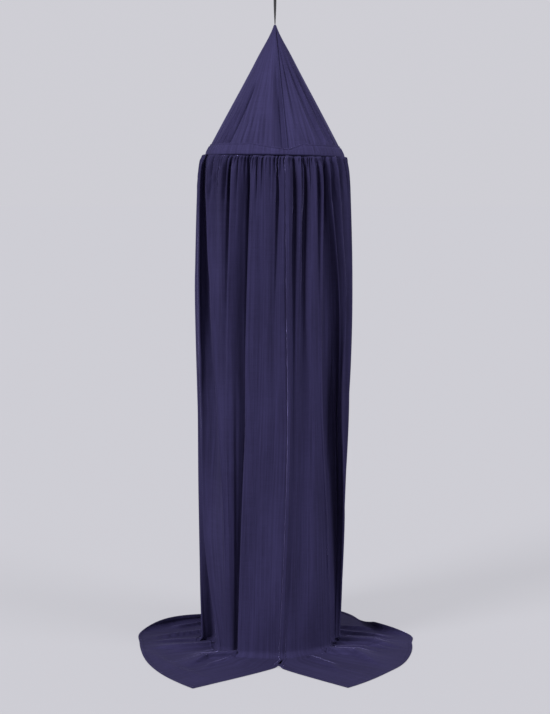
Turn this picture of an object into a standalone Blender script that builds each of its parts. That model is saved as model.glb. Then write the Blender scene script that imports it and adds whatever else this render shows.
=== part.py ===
"""Bed canopy with hoop.

A pointed cone of cloth hangs from a narrow tape loop. A ring in a stitched casing spreads the cone's
foot, and a gathered skirt falls from the casing to the floor, where it fans out. The skirt is open at
the front. The origin is where the loop rests on its hook, +Z is up and the front faces -Y.
"""

import math

import bmesh
import bpy
import numpy as np

# ---------------------------------------------------------------- driving dimensions (metres, degrees)

HOOK_ABOVE_FLOOR = 2.350
TIP_ABOVE_FLOOR = 2.224
HOOP_ABOVE_FLOOR = 1.765
HOOP_TUBE_RADIUS = 0.0035
HOOP_LEAN = 0.0175  # the hoop hangs this much lower for each metre to the right

SHEET = 0.0015  # thickness of the cone and the skirt
STRIP = 0.0012  # thickness of the casing and the tape
GAP = 0.0003
ROUND_STEPS = 48

TIP_RADIUS = 0.0068
CONE_SLOPE = 0.5245  # growth of its radius for each metre down
CREASE_START = 0.09  # share of the cone's height where the creases begin, above the casing
CREASE_FULL = 0.17  # share of the cone's height where they are deepest
TIP_FLATNESS = 0.40  # the tip is flattened by this share onto the edge-on tape
TIP_FLAT_FROM = 0.75  # share of the cone's height where the flattening begins
CONE_FOOT_ABOVE_HOOP = 0.006
CASING_HEIGHT = 0.040
SEAM_TURN = 349.0  # the front seam lies a little right of the middle
CASING_DIP = 0.021  # the casing is this much lower at the front seam

TAPE_WIDTH = 0.010
TAPE_EYE_HEIGHT = 0.036
TAPE_EYE_WIDTH = 0.016
TAPE_TAIL = 0.016  # length of the tape's ends inside the cone
TAPE_TWIST = 62.0
TAPE_TWIST_STEPS = 11

SEAM_RADIUS = 0.2455  # the skirt's gathered edge under the casing
GATHER_LIMIT = (-0.007, 0.004)  # how far the gathers stand in and out at that edge
LEAN_FADE = 0.25  # length over which the skirt's rows become level below the leaning hoop
PUFF = 0.055  # length over which the gathers swell out below it
BODY = (0.272, 0.270, 0.250)  # the skirt's mean radius at the three stations
STATIONS = (1.60, 0.87, 0.0)  # heights of the high, middle and foot stations above the floor
BEND_FRONT = 0.085
BEND_SIDE = 0.035
SELVEDGE_ON_FLOOR = 0.039  # the two front edges run on side by side this far before they part

# Turn angles grow from the front to the left, round the back and on to the right front.

# The cone's creases: turn at its foot, depth (negative is a trough), half width in degrees at the foot,
# and how far up from the foot it fades out, as a part of the cone's height.
CREASES = [
    # name                turn   depth   width  reach
    ("seam trough",      355.0, -0.0080,  8.0,  0.85),
    ("left long crease",  48.0, -0.0040,  5.0,  0.60),
    ("left short crease", 60.0, -0.0045,  5.0,  0.42),
    ("left back crease", 104.0, -0.0050,  8.0,  0.60),
    ("back trough",      150.0, -0.0070, 10.0,  0.75),
    ("back crease",      203.0, -0.0050,  8.0,  0.55),
    ("right back trough", 250.0, -0.0060, 9.0,  0.70),
    ("right edge crease", 297.0, -0.0040, 6.0,  0.70),
    ("right long crease", 318.0, -0.0045, 7.0,  0.80),
]

# The skirt's folds, in order along the cloth: turn and distance out from the mean radius, in
# millimetres, at the high, middle and foot stations.
FOLDS = [
    # name               turn: high middle  foot   out: high middle foot
    ("left edge",              -9.8,  -9.8,  -2.3,       -6,   -7,   -4),
    ("inner ridge",            -6.0,  -6.0,   4.0,       -2,    0,    2),
    ("inner valley",           -1.5,   1.5,  11.0,      -28,  -18,   -6),
    ("soft ridge",              5.0,   8.0,  17.0,       -3,   -3,   -1),
    ("panel ridge",            12.0,  15.0,  24.0,        2,    2,    3),
    ("panel lip",              17.6,  21.8,  32.4,        5,    7,    6),
    ("deep valley",            25.0,  28.0,  38.0,      -44,  -52,  -44),
    ("valley shoulder",        29.0,  33.0,  42.0,      -28,  -36,  -34),
    ("narrow ridge",           33.2,  38.2,  45.0,        4,    4,    0),
    ("short valley",           38.0,  42.0,  46.5,      -28,   -4,   -1),
    ("short ridge",            42.6,  44.8,  47.5,        6,    5,    1),
    ("soft hollow",            50.0,  46.4,  48.5,       -8,    6,    2),
    ("sharp ridge",            58.6,  48.4,  49.5,        5,    8,    3),
    ("outer valley",           66.0,  60.0,  51.0,      -34,  -30,    0),
    ("sweeping ridge",         73.0,  72.6,  53.0,        8,    6,    4),
    ("side hollow",            80.0,  81.0,  66.0,        0,    0,  -20),
    ("left side",              88.0,  89.0,  84.0,        8,   12,   13),
    ("valley 1",               97.0,  98.0,  96.0,      -24,  -30,  -26),
    ("ridge 1",               105.0, 106.0, 105.0,        4,    6,    6),
    ("valley 2",              113.0, 114.0, 114.0,      -38,  -44,  -36),
    ("ridge 2",               121.0, 120.0, 122.0,        6,    8,    4),
    ("valley 3",              127.0, 127.0, 128.0,      -20,  -12,   -8),
    ("ridge 3",               133.0, 134.0, 134.0,        0,    2,    4),
    ("valley 4",              142.0, 143.0, 141.0,      -44,  -50,  -40),
    ("ridge 4",               151.0, 152.0, 149.0,        5,    8,    6),
    ("valley 5",              158.0, 159.0, 157.0,      -26,  -16,  -14),
    ("ridge 5",               164.0, 166.0, 165.0,        2,    4,    2),
    ("valley 6",              172.0, 173.0, 174.0,      -36,  -42,  -34),
    ("ridge 6",               181.0, 180.0, 182.0,        6,    8,    6),
    ("valley 7",              187.0, 187.0, 188.0,      -18,  -10,   -6),
    ("ridge 7",               193.0, 194.0, 194.0,       -2,    2,    2),
    ("valley 8",              202.0, 203.0, 201.0,      -46,  -52,  -42),
    ("ridge 8",               211.0, 211.0, 209.0,        5,    8,    5),
    ("valley 9",              218.0, 218.0, 217.0,      -28,  -18,  -14),
    ("ridge 9",               225.0, 224.0, 225.0,        3,    4,    3),
    ("valley 10",             233.0, 232.0, 234.0,      -40,  -46,  -36),
    ("ridge 10",              241.0, 240.0, 243.0,        6,    8,    4),
    ("valley 11",             248.0, 247.0, 250.0,      -22,  -12,   -8),
    ("ridge 11",              255.0, 254.0, 257.0,        2,    2,    0),
    ("valley 12",             262.0, 262.0, 264.0,      -30,  -34,  -26),
    ("right side",            271.0, 271.0, 273.0,       -1,    0,  -14),
    ("right outer hollow",    284.0, 282.0, 279.0,      -10,   -8,  -24),
    ("right outer ridge",     293.0, 291.0, 284.0,        4,    1,  -12),
    ("right thin hollow",     299.0, 295.5, 288.0,       -8,   -6,  -20),
    ("bright ridge",          308.0, 300.0, 293.0,        6,    8,   -6),
    ("bright ridge hollow",   311.5, 306.0, 297.0,      -14,  -12,  -26),
    ("valley crest",          314.7, 309.0, 300.0,       -4,  -16,  -30),
    ("right shoulder",        318.0, 313.5, 302.5,      -34,  -42,  -38),
    ("right deep valley",     321.2, 318.5, 305.5,      -58,  -58,  -44),
    ("right lip",             324.5, 323.5, 309.0,        6,    6,    5),
    ("thin valley",           326.7, 324.7, 310.5,      -20,    8,    7),
    ("right ridge",           329.8, 326.1, 312.0,        6,    8,    6),
    ("right panel",           334.0, 333.0, 326.0,        0,   -2,   -1),
    ("soft valley",           337.5, 338.5, 338.0,      -36,  -34,  -12),
    ("low ridge",             341.0, 344.0, 346.0,       -4,  -10,   -4),
    ("edge valley",           345.2, 347.5, 351.0,      -34,  -20,   -2),
    ("edge ridge",            349.3, 350.1, 354.8,        4,    7,    3),
    ("right edge",            352.5, 352.0, 357.4,        3,    4,    2),
]

# The hem's outline on the floor: turn, reach from the middle and lift off the floor.
HEM = [
    # turn   reach  lift
    (24.6,   0.652, 0.000),
    (32.0,   0.617, 0.000),
    (39.5,   0.589, 0.000),
    (52.0,   0.550, 0.002),
    (70.5,   0.512, 0.003),
    (80.0,   0.503, 0.004),
    (94.0,   0.503, 0.007),
    (107.0,  0.464, 0.019),
    (128.0,  0.362, 0.021),
    (150.0,  0.362, 0.009),
    (180.0,  0.378, 0.004),
    (205.0,  0.405, 0.002),
    (218.0,  0.418, 0.001),
    (227.0,  0.407, 0.004),
    (239.0,  0.388, 0.008),
    (252.0,  0.390, 0.014),
    (257.0,  0.408, 0.020),
    (263.0,  0.442, 0.019),
    (267.5,  0.486, 0.009),
    (281.0,  0.509, 0.002),
    (294.0,  0.530, 0.001),
    (309.5,  0.555, 0.000),
    (317.5,  0.566, 0.000),
    (329.0,  0.598, 0.000),
    (337.6,  0.634, 0.000),
]
SPREAD_EASE = 45.0  # degrees over which the cloth at the front fans towards its corners

# Ridges of cloth that run out over the floor: where each starts and ends, its height and half width.
FLOOR_RIDGES = [
    # name             from turn reach    to turn reach   height  width
    ("left front",          36.0, 0.250,      40.5, 0.480,  0.020,  0.022),
    ("left side",           60.0, 0.240,      72.0, 0.440,  0.015,  0.020),
    ("left back low",      100.0, 0.270,      86.0, 0.470,  0.012,  0.018),
    ("left back high",     118.0, 0.300,     102.0, 0.420,  0.016,  0.016),
    ("back left",          147.0, 0.280,     145.0, 0.345,  0.010,  0.018),
    ("back",               178.0, 0.285,     177.0, 0.360,  0.012,  0.020),
    ("back right",         211.0, 0.285,     212.0, 0.395,  0.012,  0.020),
    ("right back high",    248.0, 0.270,     259.0, 0.400,  0.013,  0.016),
    ("right back low",     261.0, 0.260,     276.0, 0.450,  0.011,  0.018),
    ("right side",         284.0, 0.250,     287.0, 0.480,  0.015,  0.020),
    ("right front",        312.0, 0.270,     315.0, 0.500,  0.018,  0.022),
]

SAMPLES_PER_FOLD = 2
HANGING_HEIGHTS = (1.735, 1.68, 1.50, 0.90, 0.24)
BEND_ANGLES = (0.0, 32.0, 62.0, 90.0)
FLOOR_STEPS = (0.30, 0.55, 0.78, 1.0)


# ---------------------------------------------------------------- materials

def cloth_material(name, colour, roughness):
    material = bpy.data.materials.new(name)
    material.use_nodes = True
    shader = material.node_tree.nodes["Principled BSDF"]
    shader.inputs["Base Color"].default_value = (*colour, 1.0)
    shader.inputs["Roughness"].default_value = roughness
    shader.inputs["Metallic"].default_value = 0.0
    return material


def indigo_cotton():
    return cloth_material("indigo_cotton", (0.043, 0.038, 0.088), 0.85)


def casing_cotton():
    return cloth_material("casing_cotton", (0.048, 0.043, 0.097), 0.85)


def black_tape():
    return cloth_material("black_tape", (0.004, 0.004, 0.005), 0.7)


def hoop_plastic():
    return cloth_material("hoop_plastic", (0.80, 0.80, 0.78), 0.4)


# ---------------------------------------------------------------- meshes from rows of points

def loft(name, rows, closed, collection):
    """A sheet one face thick through rows of points, each row of the same length."""
    mesh = bmesh.new()
    grid = [[mesh.verts.new(point) for point in row] for row in rows]
    columns = len(rows[0])
    last = columns if closed else columns - 1
    for upper, lower in zip(grid, grid[1:]):
        for i in range(last):
            j = (i + 1) % columns
            mesh.faces.new((upper[i], upper[j], lower[j], lower[i]))
    bmesh.ops.recalc_face_normals(mesh, faces=mesh.faces)
    data = bpy.data.meshes.new(name)
    mesh.to_mesh(data)
    mesh.free()
    data.shade_smooth()
    sheet = bpy.data.objects.new(name, data)
    collection.objects.link(sheet)
    return sheet


def thicken(sheet, thickness):
    """Give the sheet its thickness, half on each side."""
    solidify = sheet.modifiers.new("thickness", "SOLIDIFY")
    solidify.thickness = thickness
    solidify.offset = 0.0
    solidify.use_even_offset = False


def around(turn, reach):
    """The plan position at a turn angle in degrees and a distance from the middle."""
    angle = np.radians(turn)
    return -reach * np.sin(angle), -reach * np.cos(angle)


def up(above_floor):
    return above_floor - HOOK_ABOVE_FLOOR


def leaning(x, above_hoop):
    """How far a point near the hoop is moved down or up because the hoop leans."""
    return -HOOP_LEAN * x * (1.0 - above_hoop / (TIP_ABOVE_FLOOR - HOOP_ABOVE_FLOOR))


# ---------------------------------------------------------------- hanging loop

def tape_route():
    """The tape's middle line from one tail to the other: across the fold, along, and twist share."""
    layer = 0.5 * STRIP + GAP
    tip_drop = HOOK_ABOVE_FLOOR - TIP_ABOVE_FLOOR
    crown = 0.5 * STRIP
    half_eye = 0.5 * TAPE_EYE_WIDTH
    rise = [(layer, -tip_drop - TAPE_TAIL)]
    for along in np.linspace(-tip_drop, -TAPE_EYE_HEIGHT, TAPE_TWIST_STEPS):
        rise.append((layer, along))
    rise += [
        (0.55 * half_eye, -0.80 * TAPE_EYE_HEIGHT),
        (0.92 * half_eye, -0.58 * TAPE_EYE_HEIGHT),
        (half_eye, -0.36 * TAPE_EYE_HEIGHT),
        (0.82 * half_eye, -0.15 * TAPE_EYE_HEIGHT),
        (0.45 * half_eye, -0.03 * TAPE_EYE_HEIGHT),
    ]
    fall = [(-across, along) for across, along in reversed(rise)]
    return rise + [(0.0, crown)] + fall


def hanging_loop(collection):
    """A tape folded double. It is edge on at the cone's tip and turns as it rises to its eye."""
    tip_drop = HOOK_ABOVE_FLOOR - TIP_ABOVE_FLOOR
    straight = tip_drop - TAPE_EYE_HEIGHT
    rows = []
    for across, along in tape_route():
        share = min(max((along + tip_drop) / straight, 0.0), 1.0)
        twist = math.radians(90.0 - TAPE_TWIST * share)
        width = np.array([math.cos(twist), math.sin(twist)])
        fold = np.array([-math.sin(twist), math.cos(twist)])
        middle = across * fold
        ends = (middle - 0.5 * TAPE_WIDTH * width, middle, middle + 0.5 * TAPE_WIDTH * width)
        rows.append([(x, y, along) for x, y in ends])
    tape = loft("hanging_loop", rows, False, collection)
    thicken(tape, STRIP)
    tape.data.materials.append(black_tape())
    return tape


# ---------------------------------------------------------------- cone, casing and hoop

CASING_ROLL = HOOP_TUBE_RADIUS + 0.5 * STRIP + 3.0 * GAP  # the casing's middle round the hoop
CASING_LAYER = 0.5 * SHEET + GAP + 0.5 * STRIP  # from the cone's middle to a flap's middle
CONE_LEAN = math.hypot(1.0, CONE_SLOPE)
CONE_FOOT_RADIUS = TIP_RADIUS + CONE_SLOPE * (TIP_ABOVE_FLOOR - HOOP_ABOVE_FLOOR)
HOOP_RADIUS = CONE_FOOT_RADIUS - CONE_LEAN * (CASING_ROLL - CASING_LAYER)


def cone_point(turn, above_hoop, proud):
    """A point on the cone, `proud` outside its middle surface."""
    reach = CONE_FOOT_RADIUS - CONE_SLOPE * above_hoop
    share = above_hoop / (TIP_ABOVE_FLOOR - HOOP_ABOVE_FLOOR)
    reach += crease_depth(turn, share)
    x, y = around(turn, reach + proud / CONE_LEAN)
    x *= 1.0 - TIP_FLATNESS * max(0.0, (share - TIP_FLAT_FROM) / (1.0 - TIP_FLAT_FROM)) ** 2
    z = up(HOOP_ABOVE_FLOOR + above_hoop + proud * CONE_SLOPE / CONE_LEAN)
    return x, y, z + leaning(x, above_hoop)


def crease_depth(turn, share):
    """Depth of the creases at a turn angle and a share of the cone's height."""
    total = 0.0
    for _, middle, depth, width, reach in CREASES:
        away = (turn - middle + 180.0) % 360.0 - 180.0
        fade = min(1.0, max(0.0, (reach - share) / (reach - CREASE_FULL)))
        rise = min(1.0, max(0.0, (share - CREASE_START) / (CREASE_FULL - CREASE_START)))
        total += depth * fade * rise * math.exp(-(away / width) ** 2)
    return total


def round_turns():
    return [360.0 * step / ROUND_STEPS + SEAM_TURN for step in range(ROUND_STEPS)]


def cone(collection):
    """The pointed top: one sector of cloth, open at its foot and round the tape at its tip."""
    height = TIP_ABOVE_FLOOR - HOOP_ABOVE_FLOOR
    shares = (1.0, 0.80, 0.56, 0.34, CREASE_FULL, CREASE_START)
    levels = [height * share for share in shares] + [CONE_FOOT_ABOVE_HOOP]
    rows = [[cone_point(turn, level, 0.0) for turn in round_turns()] for level in levels]
    sheet = loft("cone", rows, True, collection)
    thicken(sheet, SHEET)
    sheet.data.materials.append(indigo_cotton())
    return sheet


def casing_height(turn):
    """The casing's height, which falls to a point at the front seam, faster on the right."""
    away = (turn - SEAM_TURN + 180.0) % 360.0 - 180.0
    width = 32.0 if away > 0 else 13.0
    return CASING_HEIGHT - CASING_DIP * max(0.0, 1.0 - abs(away) / width)


def casing(collection):
    """A strip folded up round the hoop, with the cone's foot between its two flaps."""
    tilt = math.degrees(math.atan(CONE_SLOPE))
    roll_angles = np.linspace(tilt, tilt - 180.0, 7)
    columns = []
    for turn in round_turns():
        top = casing_height(turn)
        outer = [cone_point(turn, level, CASING_LAYER) for level in (top, CONE_FOOT_ABOVE_HOOP)]
        around_hoop = []
        for angle in roll_angles:
            reach = HOOP_RADIUS + CASING_ROLL * math.cos(math.radians(angle))
            x, y = around(turn, reach)
            z = up(HOOP_ABOVE_FLOOR + CASING_ROLL * math.sin(math.radians(angle)))
            around_hoop.append((x, y, z + leaning(x, 0.0)))
        inner = [cone_point(turn, level, -CASING_LAYER) for level in (0.012, top - 0.003)]
        columns.append(outer + around_hoop + inner)
    rows = [list(row) for row in zip(*columns)]
    strip = loft("hoop_casing", rows, True, collection)
    thicken(strip, STRIP)
    strip.data.materials.append(casing_cotton())
    return strip


def hoop(collection):
    """The plain ring that spreads the cone's foot and the skirt."""
    bpy.ops.mesh.primitive_torus_add(
        major_radius=HOOP_RADIUS,
        minor_radius=HOOP_TUBE_RADIUS,
        major_segments=ROUND_STEPS,
        minor_segments=8,
        location=(0.0, 0.0, up(HOOP_ABOVE_FLOOR)),
        rotation=(0.0, math.atan(HOOP_LEAN), 0.0),
    )
    ring = bpy.context.object
    turn_to_seam = math.radians(90.0 - SEAM_TURN)
    ring.data.transform(rotation_about_z(turn_to_seam))
    ring.name = "hoop"
    ring.data.name = "hoop"
    ring.data.shade_smooth()
    ring.data.materials.append(hoop_plastic())
    for holder in list(ring.users_collection):
        holder.objects.unlink(ring)
    collection.objects.link(ring)
    return ring


def rotation_about_z(angle):
    cosine = math.cos(angle)
    sine = math.sin(angle)
    return ((cosine, -sine, 0, 0), (sine, cosine, 0, 0), (0, 0, 1, 0), (0, 0, 0, 1))


# ---------------------------------------------------------------- skirt

SEAM_HEIGHT = HOOP_ABOVE_FLOOR - CASING_ROLL - 0.5 * STRIP - 2.0 * GAP


def at_height(above_floor, values):
    """A smooth value at a height, from the values at the three stations."""
    high, middle, foot = STATIONS
    z = min(max(above_floor, foot), high)
    share_high = (z - middle) * (z - foot) / ((high - middle) * (high - foot))
    share_middle = (z - high) * (z - foot) / ((middle - high) * (middle - foot))
    share_foot = (z - high) * (z - middle) / ((foot - high) * (foot - middle))
    return share_high * values[0] + share_middle * values[1] + share_foot * values[2]


def smooth_through(values, samples):
    """Values on a smooth curve through the given ones, `samples` steps to each gap."""
    padded = np.concatenate(([values[0]], values, [values[-1]]))
    result = []
    for k in range(len(values) - 1):
        before, start, end, after = padded[k:k + 4]
        for step in range(samples):
            t = step / samples
            bend = (2 * before - 5 * start + 4 * end - after) * t * t
            turn = (3 * (start - end) + after - before) * t ** 3
            result.append(start + 0.5 * ((end - before) * t + bend + turn))
    result.append(values[-1])
    return np.array(result)


def section(above_floor):
    """Turn angles and reaches of the skirt's section at a height above the floor."""
    drop = max(SEAM_HEIGHT - above_floor, 0.0)
    turns = np.array([at_height(above_floor, fold[1:4]) for fold in FOLDS])
    outs = np.array([at_height(above_floor, fold[4:7]) for fold in FOLDS]) / 1000.0
    body = at_height(above_floor, BODY)
    swell = 1.0 - math.exp(-drop / PUFF)
    held = np.clip(outs, *GATHER_LIMIT)
    reaches = SEAM_RADIUS + (body - SEAM_RADIUS) * swell + held + (outs - held) * swell
    return smooth_through(turns, SAMPLES_PER_FOLD), smooth_through(reaches, SAMPLES_PER_FOLD)


def hem_turns(turns):
    """Where each column of the skirt ends: the front columns fan out towards the corners."""
    left = HEM[0][0] - turns[0]
    right = HEM[-1][0] - turns[-1]
    from_left = np.exp(-(turns - turns[0]) / SPREAD_EASE)
    from_right = np.exp(-(turns[-1] - turns) / SPREAD_EASE)
    return turns + left * from_left + right * from_right


def floor_ridge_height(x, y):
    """Height of the ridges of cloth that run out over the floor."""
    total = np.zeros_like(x)
    for _, turn_a, reach_a, turn_b, reach_b, height, width in FLOOR_RIDGES:
        ax, ay = around(turn_a, reach_a)
        bx, by = around(turn_b, reach_b)
        length = math.hypot(bx - ax, by - ay)
        along = np.clip(((x - ax) * (bx - ax) + (y - ay) * (by - ay)) / length ** 2, 0.0, 1.0)
        away = np.hypot(x - ax - along * (bx - ax), y - ay - along * (by - ay))
        total += height * (1.0 - 0.75 * along) * np.exp(-(away / width) ** 2)
    return total


def skirt_rows():
    """Rows of points from the gathered edge down to the hem."""
    rows = []
    for height in (SEAM_HEIGHT, *HANGING_HEIGHTS):
        turns, reaches = section(height)
        x, y = around(turns, reaches)
        drop = -HOOP_LEAN * x * math.exp((height - SEAM_HEIGHT) / LEAN_FADE)
        rows.append(np.stack((x, y, up(height) + drop), axis=1))

    lowest = up(0.5 * SHEET)
    turns, reaches = section(0.0)
    from_front = np.minimum(np.abs(turns), np.abs(360.0 - turns))
    bend = BEND_SIDE + (BEND_FRONT - BEND_SIDE) * np.exp(-(from_front / 28.0) ** 2)
    for angle in BEND_ANGLES:
        outward = reaches + bend * (1.0 - math.cos(math.radians(angle)))
        height = bend * (1.0 - math.sin(math.radians(angle)))
        x, y = around(turns, outward)
        ridge = floor_ridge_height(x, y) * math.sin(math.radians(angle)) ** 4
        rows.append(np.stack((x, y, lowest + height + ridge), axis=1))

    ends = hem_turns(turns)
    hem = np.array(HEM)
    hem_reach = np.interp(ends, hem[:, 0], hem[:, 1])
    hem_lift = np.interp(ends, hem[:, 0], hem[:, 2])
    start = np.stack(around(turns, reaches + bend), axis=1)
    parting = np.stack(around(turns, reaches + bend + SELVEDGE_ON_FLOOR), axis=1)
    end = np.stack(around(ends, hem_reach), axis=1)
    for t in FLOOR_STEPS:
        early = parting + 0.3 * (end - parting)
        plan = (
            (1 - t) ** 3 * start
            + 3 * (1 - t) ** 2 * t * parting
            + 3 * (1 - t) * t ** 2 * early
            + t ** 3 * end
        )
        ridge = floor_ridge_height(plan[:, 0], plan[:, 1])
        lift = hem_lift * max(0.0, (t - 0.5) / 0.5) ** 2
        rows.append(np.stack((plan[:, 0], plan[:, 1], lowest + ridge + lift), axis=1))
    return rows


def skirt(collection):
    """One gathered width of cloth, open at the front, hanging and fanned out on the floor."""
    sheet = loft("skirt", [list(map(tuple, row)) for row in skirt_rows()], False, collection)
    thicken(sheet, SHEET)
    sheet.data.materials.append(indigo_cotton())
    return sheet


# ---------------------------------------------------------------- build

def build():
    for thing in list(bpy.data.objects):
        bpy.data.objects.remove(thing, do_unlink=True)
    collection = bpy.data.collections.new("bed_canopy_with_hoop")
    bpy.context.scene.collection.children.link(collection)
    hanging_loop(collection)
    cone(collection)
    casing(collection)
    hoop(collection)
    skirt(collection)


build()
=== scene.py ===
"""Bed canopy with hoop.

A pointed cone of indigo cotton hangs from a black tape. A hoop in a stitched casing spreads the
cone's foot, and a gathered skirt falls from the casing to the floor, where it fans out. The origin is
where the tape rests on its hook, +Z is up and the open front of the skirt faces -Y. Sizes are in
metres where nothing else is said.
"""

import math

import bmesh
import bpy
import numpy as np
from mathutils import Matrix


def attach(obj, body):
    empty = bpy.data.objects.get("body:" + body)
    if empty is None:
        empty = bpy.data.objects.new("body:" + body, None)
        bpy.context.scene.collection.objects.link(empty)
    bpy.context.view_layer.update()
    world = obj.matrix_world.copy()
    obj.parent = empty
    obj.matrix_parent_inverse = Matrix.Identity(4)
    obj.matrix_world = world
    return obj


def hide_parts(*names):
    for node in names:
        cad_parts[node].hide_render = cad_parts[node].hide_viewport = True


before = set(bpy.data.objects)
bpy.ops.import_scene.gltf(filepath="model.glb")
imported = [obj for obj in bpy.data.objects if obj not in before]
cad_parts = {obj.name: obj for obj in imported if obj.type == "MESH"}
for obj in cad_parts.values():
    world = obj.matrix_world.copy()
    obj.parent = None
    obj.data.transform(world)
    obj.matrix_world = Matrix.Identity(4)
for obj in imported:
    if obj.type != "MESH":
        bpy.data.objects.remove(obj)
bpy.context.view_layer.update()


# -------- camera
# The photograph is taken from the front, a little below the height of the hoop, and looks slightly
# down. The lens is given as its focal length in pixels of the 550 x 714 picture. Here and below, the
# height of a place is its height above the floor.

HOOK_HEIGHT = 2.350
CAMERA_AWAY = 5.300
CAMERA_HEIGHT = 1.607
CAMERA_DOWN = 6.1
PICTURE_HEIGHT = 714
FOCAL_LENGTH_PX = 1468


def put_in_scene(name, data, location=(0.0, 0.0, 0.0), tilt=0.0, turn=0.0):
    """A new object, tilted up from looking straight down and then turned, in degrees."""
    made = bpy.data.objects.new(name, data)
    made.location = location
    made.rotation_euler = (math.radians(tilt), 0.0, math.radians(turn))
    bpy.context.scene.collection.objects.link(made)
    return made


camera_data = bpy.data.cameras.new("camera")
camera_data.sensor_fit = "VERTICAL"
camera_data.sensor_height = 24.0
camera_data.lens = camera_data.sensor_height * FOCAL_LENGTH_PX / PICTURE_HEIGHT
camera_place = (0.0, -CAMERA_AWAY, CAMERA_HEIGHT - HOOK_HEIGHT)
camera = put_in_scene("camera", camera_data, camera_place, tilt=90.0 - CAMERA_DOWN)
bpy.context.scene.camera = camera


# -------- hanging tape
# A narrow black woven tape, folded double and sewn into the tip of the cone. It runs taut up to an
# eye that hangs on the ceiling hook, and turns from edge on at the tip to nearly flat at the eye.

TIP_HEIGHT = 2.224
TAPE_WIDTH = 0.010
TAPE_THICKNESS = 0.0012
TAPE_LAYERS_APART = 0.0006
TAPE_EYE_HEIGHT = 0.036
TAPE_EYE_WIDTH = 0.016
TAPE_TAIL = 0.016  # length of each sewn end inside the cone
TAPE_TWIST = 62.0
TAPE_BLACK = (0.0045, 0.0042, 0.0060)
TAPE_RIB = 0.0011
BAND_SCALE = 0.314  # a wave texture's scale for bands one metre apart


def cloth_object(name, rows, closed, flat_size):
    """A sheet through rows of points, with its flat size in metres as its texture coordinates.

    A row has as many points as the row above it, or about half as many.
    """
    rows = [np.asarray(row) for row in rows]
    mesh = bmesh.new()
    flat = mesh.loops.layers.uv.new("flat")
    grid = [[mesh.verts.new(point) for point in row] for row in rows]
    down = [0.0]
    for above, below in zip(rows, rows[1:]):
        step = 1 if len(above) == len(below) else 2
        down.append(down[-1] + np.linalg.norm(above[::step] - below, axis=1).mean())
    down = np.array(down) * flat_size[1] / down[-1]
    open_edge = 0 if closed else 1
    spaces = len(rows[-1]) - open_edge
    alike = np.array([row for row in rows if len(row) == len(rows[-1])])
    alike = np.concatenate((alike, alike[:, :1]), axis=1)[:, :spaces + 1]
    widths = np.linalg.norm(np.diff(alike, axis=1), axis=2).mean(axis=0)
    across = np.concatenate(([0.0], np.cumsum(widths))) * flat_size[0] / widths.sum()

    def face(*corners):
        made = mesh.faces.new([grid[row][column % len(grid[row])] for column, row in corners])
        for loop, (column, row) in zip(made.loops, corners):
            place = column * spaces / (len(grid[row]) - open_edge)
            left = min(int(place), spaces - 1)
            width = across[left] + (place - left) * (across[left + 1] - across[left])
            loop[flat].uv = (width, -down[row])

    for r in range(len(rows) - 1):
        for i in range(len(rows[r + 1]) - open_edge):
            if len(rows[r]) == len(rows[r + 1]):
                face((i, r), (i + 1, r), (i + 1, r + 1), (i, r + 1))
            else:
                face((2 * i, r), (2 * i + 1, r), (i, r + 1))
                face((2 * i + 1, r), (i + 1, r + 1), (i, r + 1))
                face((2 * i + 1, r), (2 * i + 2, r), (i + 1, r + 1))
    data = bpy.data.meshes.new(name)
    mesh.to_mesh(data)
    mesh.free()
    data.shade_smooth()
    return put_in_scene(name, data)


def give_thickness(sheet, thickness):
    """Thicken the sheet by half on each side."""
    solidify = sheet.modifiers.new("thickness", "SOLIDIFY")
    solidify.thickness = thickness
    solidify.offset = 0.0
    solidify.use_even_offset = False


def tape_middle_line():
    """The tape's middle from one sewn end to the other: across the fold, and along the tape."""
    layer = 0.5 * (TAPE_THICKNESS + TAPE_LAYERS_APART)
    tip_drop = HOOK_HEIGHT - TIP_HEIGHT
    half_eye = 0.5 * TAPE_EYE_WIDTH
    straight = np.linspace(-tip_drop - TAPE_TAIL, -TAPE_EYE_HEIGHT, 26)
    rise = [(layer, along) for along in straight]
    for angle in range(12, 180, 12):
        bulge = math.sin(math.radians(angle)) ** 1.2
        height = -TAPE_EYE_HEIGHT * (0.5 + 0.5 * math.cos(math.radians(angle)))
        rise.append((layer + (half_eye - layer) * bulge, height))
    fall = [(-across, along) for across, along in reversed(rise)]
    return rise + [(0.0, 0.5 * TAPE_THICKNESS)] + fall


def tape_rows():
    tip_drop = HOOK_HEIGHT - TIP_HEIGHT
    rows = []
    for across, along in tape_middle_line():
        share = min(max((along + tip_drop) / (tip_drop - TAPE_EYE_HEIGHT), 0.0), 1.0)
        twist = math.radians(90.0 - TAPE_TWIST * share)
        width = np.array((math.cos(twist), math.sin(twist)))
        fold = np.array((-math.sin(twist), math.cos(twist)))
        places = np.linspace(-0.5, 0.5, 7) * TAPE_WIDTH
        rows.append([(*(across * fold + place * width), along) for place in places])
    return rows


def start_material(name):
    """A new material, what adds a node to it, and what sets its shader up.

    A setting has Blender's name with underscores for spaces. It is a value or another node's output.
    """
    material = bpy.data.materials.new(name)
    material.use_nodes = True
    tree = material.node_tree

    def set_up(node, settings):
        for setting, value in settings.items():
            socket = node.inputs[setting.replace("_", " ")]
            if isinstance(value, bpy.types.NodeSocket):
                tree.links.new(value, socket)
            else:
                socket.default_value = value
        return node

    def add(kind, **settings):
        return set_up(tree.nodes.new("ShaderNode" + kind), settings)

    def shade(**settings):
        set_up(tree.nodes["Principled BSDF"], settings)

    return material, add, shade


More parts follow.
